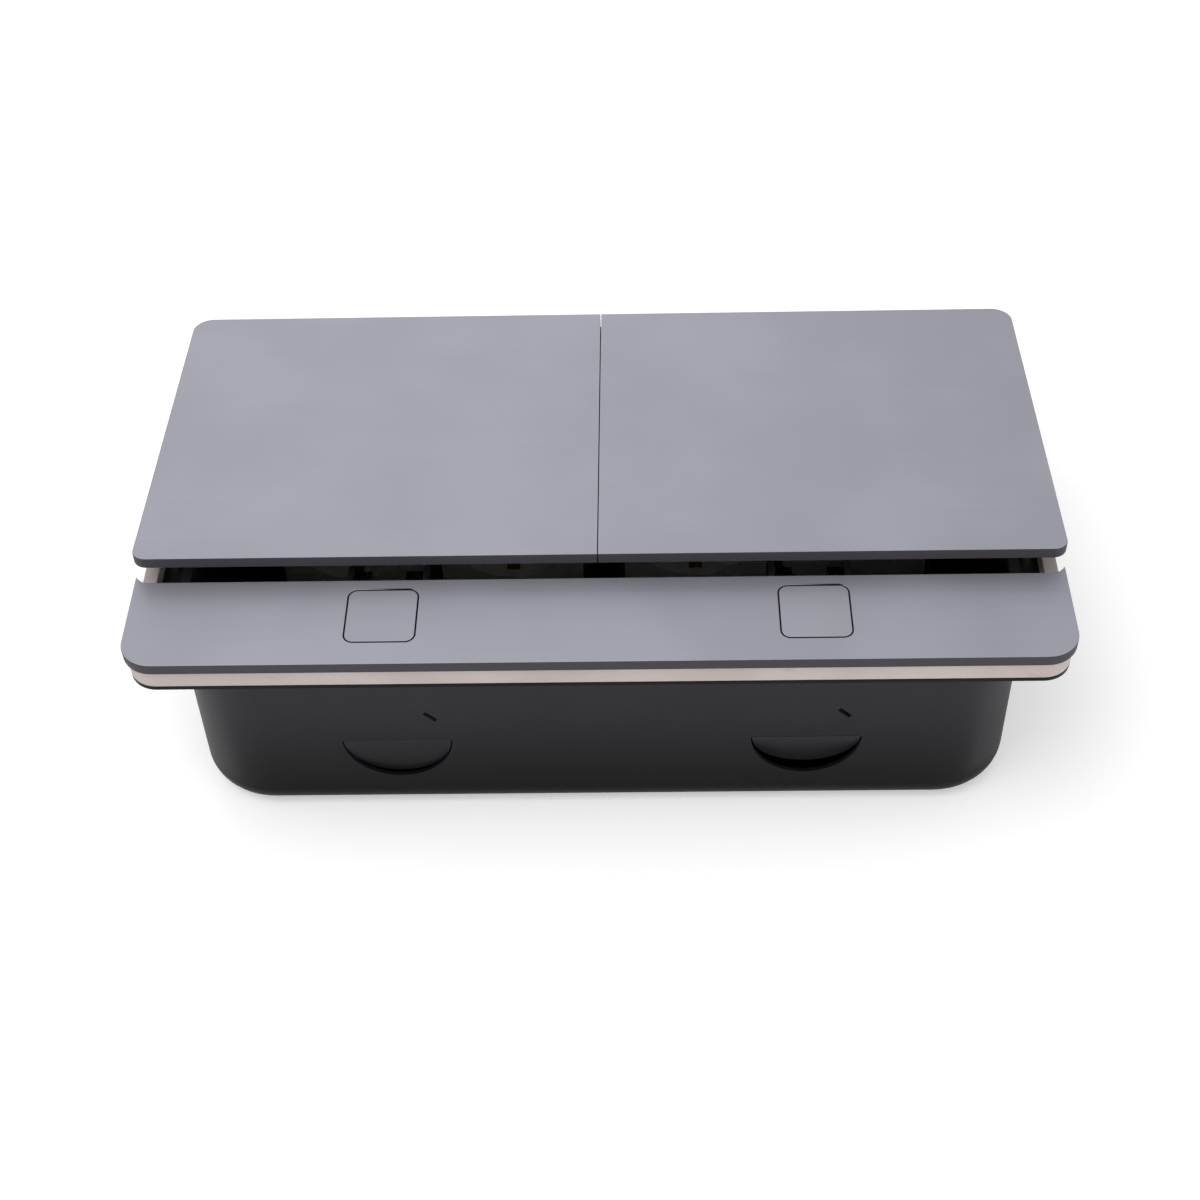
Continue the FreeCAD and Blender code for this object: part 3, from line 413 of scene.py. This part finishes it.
rounded("front_strip", "front_strip_plate", 0.3, lambda corner: corner.y > -41.5)
rounded("base_frame", "base_frame_casting", 0.3)
for side in SIDES:
    rounded(side + "_lid", side + "_lid_plate", 0.3, lambda corner: abs(corner.x) < 0.5)
    rounded(side + "_button", side + "_button_cap", 0.25)
    rounded(side + "_latch_housing", side + "_latch_moulding", 0.2)
    rounded(side + "_rocker", side + "_rocker_lever", 0.15)
    rounded(side + "_keeper", side + "_keeper_plate", 0.12)
    rounded(side + "_carrier", side + "_carrier_bracket", 0.15)


# Contacts inside the outlets

HALF_MODULE, JACK_OFFSET, PIN_OFFSET = 22.4, 10.15, 9.5
JACKS = [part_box("data_outlet")[0].x / MM + HALF_MODULE + way * JACK_OFFSET for way in (-1, 1)]
FACE_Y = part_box("data_outlet")[0].y / MM
MIDDLE_Z = (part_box("data_outlet")[0].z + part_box("data_outlet")[1].z) / 2 / MM


def jack_contacts():
    """Eight sprung gold wires in each data jack, slanting down from its roof."""
    wire = block("contact", (-0.22, FACE_Y + 2.2, MIDDLE_Z + 4.05), (0.22, FACE_Y + 2.6, MIDDLE_Z + 4.4))
    bends = ((0, 1.2, -0.5), (0, 5.2, -2.6), (0, 1.6, 0.4), (0, 0.9, 1.2))
    pushed(wire, lambda face: facing(face, (0, 1, 0)), *bends)
    bevelled(wire, 0.05)
    smooth(wire)
    count, pitch = 8, 1.02
    wires = []
    for jack in JACKS:
        for number in range(count):
            wires.append(copied(wire, "contact_copy", (jack + (number - (count - 1) / 2) * pitch, 0, 0)))
    bpy.data.objects.remove(wire)
    mount(joined("jack_contacts", wires), "box", "brass")


def pin_sleeves(side, place):
    """Two brass sleeves behind the pin holes of one socket."""
    low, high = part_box(f"{side}_{place}_socket")
    middle = (low.x + high.x) / 2 / MM
    mouth, end, radius, wall, depth = 13.2, 26, 2.4, 0.45, 11
    sleeves = []
    for way in (-1, 1):
        x = middle + way * PIN_OFFSET
        sleeve = bar("sleeve", (x, FACE_Y + mouth, MIDDLE_Z), (x, FACE_Y + end, MIDDLE_Z), radius)
        pick(sleeve, "FACE", lambda face: facing(face, (0, -1, 0)))
        bpy.ops.mesh.inset(thickness=wall * MM)
        bpy.ops.mesh.extrude_region_move(TRANSFORM_OT_translate={"value": (0, depth * MM, 0)})
        leave()
        bevelled(sleeve, 0.12)
        smooth(sleeve)
        sleeves.append(sleeve)
    mount(joined(f"{side}_{place}_sleeves", sleeves), "box", "brass")


jack_contacts()
for side, place in (("left", "outer"), ("left", "inner"), ("right", "inner")):
    pin_sleeves(side, place)


# Camera, floor and lights

def camera():
    """Camera at the photograph's place: its turn is down, to the left and a little tilted."""
    focal_length, photo_width = 1986.4, 1200
    lens = bpy.data.cameras.new("camera")
    lens.sensor_width = 36
    lens.lens = focal_length / photo_width * lens.sensor_width
    lens.clip_start = 0.01
    viewer = bpy.data.objects.new("camera", lens)
    turn = Matrix.Rotation(radians(1.787), 4, "Z")
    turn = turn @ Matrix.Rotation(radians(90 - 46.55), 4, "X")
    turn = turn @ Matrix.Rotation(radians(-1.931), 4, "Z")
    viewer.matrix_world = Matrix.Translation((0.0121, -0.4202, 0.4642)) @ turn
    bpy.context.scene.collection.objects.link(viewer)
    bpy.context.scene.camera = viewer


def floor():
    """Plain pale floor that keeps the object's shadow."""
    bpy.ops.object.select_all(action="DESELECT")
    bpy.ops.mesh.primitive_plane_add(size=12)
    ground = bpy.context.object
    ground.name = "floor"
    finish = Finish("pale_floor", Roughness=0.9)
    finish.set("Base Color", (0.93, 0.93, 0.93, 1))
    finish.set("Specular IOR Level", 0.1)
    finish.set("Emission Color", (1, 1, 1, 1))
    finish.set("Emission Strength", finish.add("ShaderNodeLightPath", output="Is Camera Ray") * 0.35)
    ground.data.materials.append(finish.material)


def lamp(name, place, size, power, target=(0, 0, 0.04)):
    """Square soft light aimed at the object."""
    light = bpy.data.lights.new(name, "AREA")
    light.size = size
    light.energy = power
    holder = bpy.data.objects.new(name, light)
    holder.location = place
    holder.rotation_euler = (Vector(target) - Vector(place)).to_track_quat("-Z", "Y").to_euler()
    bpy.context.scene.collection.objects.link(holder)


def room():
    """Even soft light, seen a little brighter in the metal and white by the camera."""
    world = bpy.data.worlds.new("studio")
    world.use_nodes = True
    bpy.context.scene.world = world
    links = world.node_tree.links
    nodes = world.node_tree.nodes
    path = nodes.new("ShaderNodeLightPath")
    gloss, sight = nodes.new("ShaderNodeMath"), nodes.new("ShaderNodeMath")
    for step, ray, more in ((gloss, "Is Glossy Ray", 0.4), (sight, "Is Camera Ray", 0.5)):
        step.operation = "MULTIPLY_ADD"
        links.new(path.outputs[ray], step.inputs[0])
        step.inputs[1].default_value = more
    gloss.inputs[2].default_value = 0.5
    links.new(gloss.outputs[0], sight.inputs[2])
    back = nodes["Background"]
    back.inputs["Color"].default_value = (1, 1, 1, 1)
    links.new(sight.outputs[0], back.inputs["Strength"])


camera()
floor()
room()
lamp("key", (-0.5, -0.35, 1.4), 1.1, 9.0)
lamp("fill", (0.85, -1.1, 0.6), 1.0, 3.9)
lamp("back", (-0.25, 1.2, 0.9), 1.0, 2.4)
bpy.context.scene.view_settings.view_transform = "Standard"
